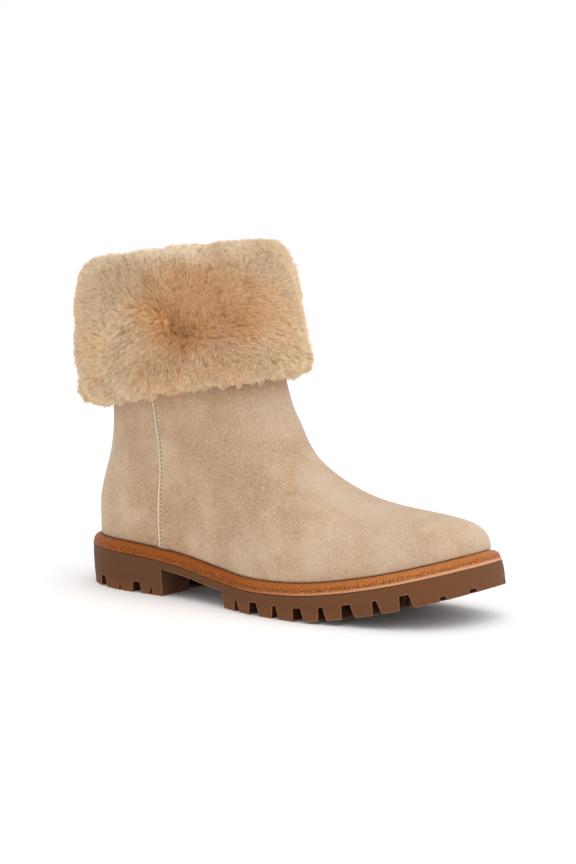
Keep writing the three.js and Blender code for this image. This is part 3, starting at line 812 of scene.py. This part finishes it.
# Fleece cuff
pile = {
    "voxel": 2.9 * mm,
    "smoothRounds": 8,
    "sunk": 3.9 * mm,  # the skin lies this far under the tips
    "hidden": 14 * mm,  # a face that looks at the upper nearer than this has no pile
    "lumpHigh": 1.1 * mm,
    "lumpScale": 60,
    "kinds": 7,
    "blades": 46,  # hairs in a tuft
    "liningBlades": 26,
    "tuftRound": 2.6 * mm,
    "bladeWidth": 0.36 * mm,
    "bladeFacing": 0.8,
    "tipShare": 0.35,  # a hair's width at its tip
    "length": 7.0 * mm,
    "lengthSpread": (0.72, 1.1),
    "lean": 1.1,
    "leanSpread": 0.35,
    "twist": 0.25,
    "clump": 0.5,  # how far the tips of a tuft draw together
    "liftSpread": (-0.15, 0.2),
    "turnSpread": 0.2,
    "shift": 1.2,
    "sizeSpread": (0.88, 1.1),
    "upright": 0.45,  # how far hairs stand up where the combing turns
    "rimUpright": 0.6,  # and on the rim
    "rimShort": 0.3,
    "liningSize": 0.7,
    "liningBelow": 205 * mm,
    "tipAt": 0.8,  # share of the length where a hair's overhang is measured
    "hanging": -0.3,  # hair combed down more than this is trimmed by its overhang
    "hangLeast": 0.75,
    "hangFull": 1.2,
    "hangOver": 12.0,
    "sway": 0.8,  # how far the combing wanders, in radians
    "swayScale": 50.0,
    "curl": 0.4,
    "curlScale": 130.0,
    "combSoft": 10,  # how softly one combing goes over into the next, in millimetres
    "combPower": 4,
    "level": 0.05,  # a skin flatter than this is combed outward
    "bands": 6,
    "seed": 11,
}
shaftMiddle = bootPoint(69, 0, 0)
# Patches where the pile parts or is dyed deeper, and broad patches where shade is painted on its sides:
# centre and reach in millimetres, share of that tone
dyedAndShaded = [
    {"at": (10, -38, 160), "reach": 56, "tone": "paintedShade", "share": 0.9},
    {"at": (148, -4, 180), "reach": 44, "tone": "paintedShade", "share": 0.7},
    {"at": (114, -48, 180), "reach": 48, "tone": "tan", "share": 0.9},
    {"at": (92, -58, 172), "reach": 28, "tone": "tan", "share": 0.6},
    {"at": (139, -24, 178), "reach": 26, "tone": "tan", "share": 0.6},
    {"at": (40, -55, 184), "reach": 24, "tone": "paintedShade", "share": 0.5},
    {"at": (98, -56, 163), "reach": 16, "tone": "rust", "share": 0.4},
    {"at": (112, -52, 156), "reach": 15, "tone": "rust", "share": 0.5},
    {"at": (84, -57, 193), "reach": 8, "tone": "rust", "share": 0.4},
    {"at": (42, -49, 132), "reach": 14, "tone": "tan", "share": 0.5},
    {"at": (47, -56, 153), "reach": 14, "tone": "tan", "share": 0.3},
    {"at": (138, -29, 167), "reach": 14, "tone": "rust", "share": 0.6},
    {"at": (126, -40, 170), "reach": 14, "tone": "rust", "share": 0.3},
    {"at": (136, -24, 190), "reach": 6, "tone": "rust", "share": 0.7},
    {"at": (30, -52, 150), "reach": 20, "tone": "tan", "share": 0.35},
    {"at": (146, -10, 168), "reach": 38, "tone": "tan", "share": 0.4},
    {"at": (92, -54, 130), "reach": 34, "tone": "tan", "share": 0.45},
    {"at": (132, -38, 136), "reach": 24, "tone": "tan", "share": 0.3},
    {"at": (45, 58, 168), "reach": 46, "tone": "tan", "share": 0.6},
    {"at": (112, 46, 165), "reach": 40, "tone": "tan", "share": 0.6},
    {"at": (60, 58, 160), "reach": 16, "tone": "rust", "share": 0.35},
    {"at": (-8, 8, 175), "reach": 30, "tone": "tan", "share": 0.35},
    {"at": (30, -48, 210), "reach": 20, "tone": "cream", "share": 0.5},
    {"at": (55, -54, 214), "reach": 20, "tone": "cream", "share": 0.9},
    {"at": (80, -54, 215), "reach": 22, "tone": "cream", "share": 1.0},
    {"at": (95, -50, 215), "reach": 22, "tone": "cream", "share": 1.0},
    {"at": (110, -44, 216), "reach": 22, "tone": "cream", "share": 1.0},
    {"at": (127, -28, 216), "reach": 20, "tone": "cream", "share": 0.8},
]
# Each tone runs from a hair's root to its tip. The darker roots are partly the hair's own colour and partly
# painted shade deep in the pile.
fleeceTones = {
    "cream": [(0.0, (0.97, 0.82, 0.61)), (0.5, (0.97, 0.84, 0.65)), (1.0, (0.97, 0.86, 0.69))],
    "pale": [(0.0, (0.77, 0.53, 0.30)), (0.5, (0.80, 0.585, 0.365)), (1.0, (0.82, 0.65, 0.45))],
    "paintedShade": [(0.0, (0.68, 0.43, 0.22)), (0.5, (0.69, 0.485, 0.295)), (1.0, (0.71, 0.56, 0.39))],
    "tan": [(0.0, (0.76, 0.42, 0.165)), (0.5, (0.80, 0.47, 0.205)), (1.0, (0.86, 0.57, 0.31))],
    "rust": [(0.0, (0.66, 0.31, 0.095)), (0.5, (0.69, 0.35, 0.12)), (1.0, (0.77, 0.45, 0.20))],
}
fleece = {
    "patches": (26.0, 3.0, 0.55),
    "patchFade": (0.0, 0.25, 0.5, 0.75),
    "strands": (620.0, 1.0, 0.5),
    "strandSpan": (0.86, 1.14),
    "roughness": 0.8,
    "specular": 0.1,
    "sheen": 0.05,
    "sheenTint": (1.0, 0.92, 0.8, 1),
}


def fleeceFinish():
    finish, tree, shader = startFinish("sandFleece", fleece["roughness"], fleece["specular"])
    where = objectPlace(tree)
    along = attribute(tree, "along")
    tones = {name: ramp(tree, along, stops) for name, stops in fleeceTones.items()}
    patchy = spread(tree, grain(tree, where, *fleece["patches"]), *fleece["patchFade"])
    base = blendColours(tree, tones["pale"], tones["tan"], patchy)
    # Dyed patches, and painted shade on the cuff's sides
    for place in dyedAndShaded:
        base = blendColours(tree, base, tones[place["tone"]], nearTo(tree, where, place))
    strands = spread(tree, grain(tree, where, *fleece["strands"]), *fleece["strandSpan"], *noiseSpan)
    tree.links.new(dim(tree, base, strands), shader.inputs["Base Color"])
    shader.inputs["Sheen Weight"].default_value = fleece["sheen"]
    shader.inputs["Sheen Tint"].default_value = fleece["sheenTint"]
    return finish


# One tuft: tapered hairs on a small round root, leaning a little apart. They stand along +Z and lean to +X.
def makeTuft(chance, blades):
    bm = bmesh.new()
    alongLayer = bm.verts.layers.float.new("along")
    for _ in range(blades):
        reach = pile["length"] * chance.uniform(*pile["lengthSpread"])
        lean = pile["lean"] + chance.uniform(-pile["leanSpread"], pile["leanSpread"])
        turn = Matrix.Rotation(chance.uniform(-pile["twist"], pile["twist"]), 3, "Z")
        away = pile["tuftRound"] * math.sqrt(chance.random())
        angle = chance.uniform(0, 2 * math.pi)
        root = Vector((away * math.cos(angle), away * math.sin(angle), 0))
        facing = math.pi / 2 + chance.uniform(-pile["bladeFacing"], pile["bladeFacing"])
        across = Vector((math.cos(facing), math.sin(facing), 0)) * pile["bladeWidth"] / 2
        tip = root * (1 - pile["clump"]) + turn @ Vector((math.sin(lean), 0, math.cos(lean))) * reach
        slim = across * pile["tipShare"]
        corners = [bm.verts.new(spot) for spot in (root - across, root + across, tip + slim, tip - slim)]
        corners[2][alongLayer] = corners[3][alongLayer] = 1.0
        bm.faces.new(corners)
    mesh = bpy.data.meshes.new("tuft")
    bm.to_mesh(mesh)
    bm.free()
    return mesh


# The skin under the pile: the cuff's own solid, remeshed, smoothed and sunk in
def makeSkin():
    piece = makePiece("cuffSkin", nodeCopy("cuff"), fleeceFinish())
    remeshPiece(piece, pile["voxel"])
    bm = bmesh.new()
    bm.from_mesh(piece.data)
    for _ in range(pile["smoothRounds"]):
        bmesh.ops.smooth_vert(bm, verts=bm.verts, factor=0.5,
                              use_axis_x=True, use_axis_y=True, use_axis_z=True)
    bm.normal_update()
    furred = []
    for face in bm.faces:
        face.smooth = True
        start = face.calc_center_median() + face.normal * rayLift
        furred.append(upperTree.ray_cast(start, face.normal, pile["hidden"])[0] is None)
    bm.faces.ensure_lookup_table()
    for vertex in bm.verts:
        shown = sum(furred[f.index] for f in vertex.link_faces) / max(1, len(vertex.link_faces))
        lump = pile["lumpHigh"] * noise.noise(vertex.co * pile["lumpScale"])
        vertex.co -= vertex.normal * (pile["sunk"] - lump) * shown
    bm.normal_update()
    skinTree = BVHTree.FromBMesh(bm)
    roots = [(f.calc_center_median().copy(), f.normal.copy()) for f in bm.faces if furred[f.index]]
    bm.to_mesh(piece.data)
    bm.free()
    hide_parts("cuff")
    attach(piece, "root")
    return roots, skinTree


# Which way the pile is combed near a place, in degrees from straight down, turning towards the toe on the
# outer side
combed = [
    {"at": (10, -38, 190), "turn": -125},
    {"at": (14, -42, 165), "turn": -95},
    {"at": (16, -42, 135), "turn": -50},
    {"at": (28, -50, 205), "turn": -160},
    {"at": (40, -55, 187), "turn": -145},
    {"at": (46, -56, 168), "turn": -120},
    {"at": (45, -52, 142), "turn": -45},
    {"at": (49, -49, 124), "turn": -10},
    {"at": (60, -56, 205), "turn": -172},
    {"at": (66, -57, 187), "turn": -160},
    {"at": (90, -55, 208), "turn": 180},
    {"at": (92, -57, 190), "turn": 180},
    {"at": (112, -46, 206), "turn": 172},
    {"at": (114, -50, 177), "turn": 160},
    {"at": (80, -57, 161), "turn": -10},
    {"at": (84, -53, 130), "turn": 0},
    {"at": (116, -48, 144), "turn": 12},
    {"at": (116, -46, 134), "turn": 5},
    {"at": (130, -32, 200), "turn": 150},
    {"at": (136, -20, 206), "turn": 145},
    {"at": (137, 8, 204), "turn": 120},
    {"at": (138, -20, 190), "turn": 105},
    {"at": (143, -8, 183), "turn": 85},
    {"at": (144, -18, 168), "turn": 65},
    {"at": (150, -4, 145), "turn": 60},
    {"at": (141, -30, 152), "turn": 45},
    {"at": (136, -36, 138), "turn": 20},
    {"at": (130, 30, 195), "turn": 75},
    {"at": (100, 50, 195), "turn": 35},
    {"at": (60, 58, 195), "turn": 5},
    {"at": (25, 48, 195), "turn": -25},
    {"at": (-4, 20, 195), "turn": -60},
    {"at": (-8, -5, 175), "turn": -70},
    {"at": (100, 50, 150), "turn": 15},
    {"at": (60, 58, 150), "turn": 0},
    {"at": (20, 45, 150), "turn": -10},
    {"at": (-6, 5, 145), "turn": -25},
]
for place in combed:
    place["near"] = bootPoint(*place["at"])


# The way that the pile is combed at a spot, and how far the places around it agree, 1 being wholly
def combing(spot, normal):
    down = Vector((0, 0, -1))
    flow = down - normal * down.dot(normal)
    if flow.length < pile["level"]:
        flow = Vector((spot.x - shaftMiddle.x, spot.y, 0))
    flow = flow.normalized()
    forward = normal.cross(flow)
    way = Vector()
    total = 0.0
    for place in combed:
        far = (spot - place["near"]).length / mm
        weight = 1 / (far + pile["combSoft"]) ** pile["combPower"]
        turn = math.radians(place["turn"])
        way += (flow * math.cos(turn) + forward * math.sin(turn)) * weight
        total += weight
    sway = pile["sway"] * noise.noise(spot * pile["swayScale"])
    sway += pile["curl"] * noise.noise(spot * pile["curlScale"])
    return Matrix.Rotation(sway, 3, normal) @ way.normalized(), way.length / total


def makePile(roots, skinTree):
    chance = random.Random(pile["seed"])
    finish = fleeceFinish()
    tufts = [makeTuft(chance, pile["blades"]) for _ in range(pile["kinds"])]
    liningTufts = [makeTuft(chance, pile["liningBlades"]) for _ in range(pile["kinds"])]
    bands = [bmesh.new() for _ in range(pile["bands"])]
    shift = pile["shift"]
    for spot, normal in roots:
        flow, agreed = combing(spot, normal)
        side = normal.cross(flow).normalized()
        flow = side.cross(normal).normalized()
        turn = Matrix((flow, side, normal)).transposed().to_4x4()
        upward = max(0, normal.z)
        lift = chance.uniform(*pile["liftSpread"])
        lift -= pile["upright"] * (1 - agreed) + pile["rimUpright"] * upward
        swing = chance.uniform(-pile["turnSpread"], pile["turnSpread"])
        tilt = Matrix.Rotation(lift, 4, "Y") @ Matrix.Rotation(swing, 4, "Z")
        jitter = (flow * chance.uniform(-shift, shift) + side * chance.uniform(-shift, shift)) * mm
        inner = normal.xy.dot(spot.xy - shaftMiddle.xy) < 0 and spot.z < pile["liningBelow"]
        size = chance.uniform(*pile["sizeSpread"]) * (pile["liningSize"] if inner else 1.0)
        size *= 1 - pile["rimShort"] * upward
        if flow.z < pile["hanging"]:
            tip = spot + flow * pile["length"] * pile["tipAt"]
            over = (skinTree.find_nearest(tip)[0] - tip).length / mm  # how far the hair hangs past an edge
            size *= max(pile["hangLeast"], min(1.0, pile["hangFull"] - over / pile["hangOver"]))
        around = (math.atan2(spot.y - shaftMiddle.y, spot.x - shaftMiddle.x) / (2 * math.pi)) % 1
        tuft = chance.choice(liningTufts if inner else tufts).copy()
        scaled = Matrix.Diagonal((size, size, size, 1))
        tuft.transform(Matrix.Translation(spot + jitter) @ turn @ tilt @ scaled)
        bands[int(around * pile["bands"]) % pile["bands"]].from_mesh(tuft)
        bpy.data.meshes.remove(tuft)
    for i, bm in enumerate(bands):
        for face in bm.faces:
            face.smooth = True
        piece = makePiece(f"fleece{i + 1}", bm, finish)
        print("fleece", i + 1, "has", sum(len(p.vertices) - 2 for p in piece.data.polygons), "triangles")
        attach(piece, "root")


tuftRoots, skinShape = makeSkin()
print("skin is ready:", len(tuftRoots), "tufts to plant")
makePile(tuftRoots, skinShape)
print("pile is ready")
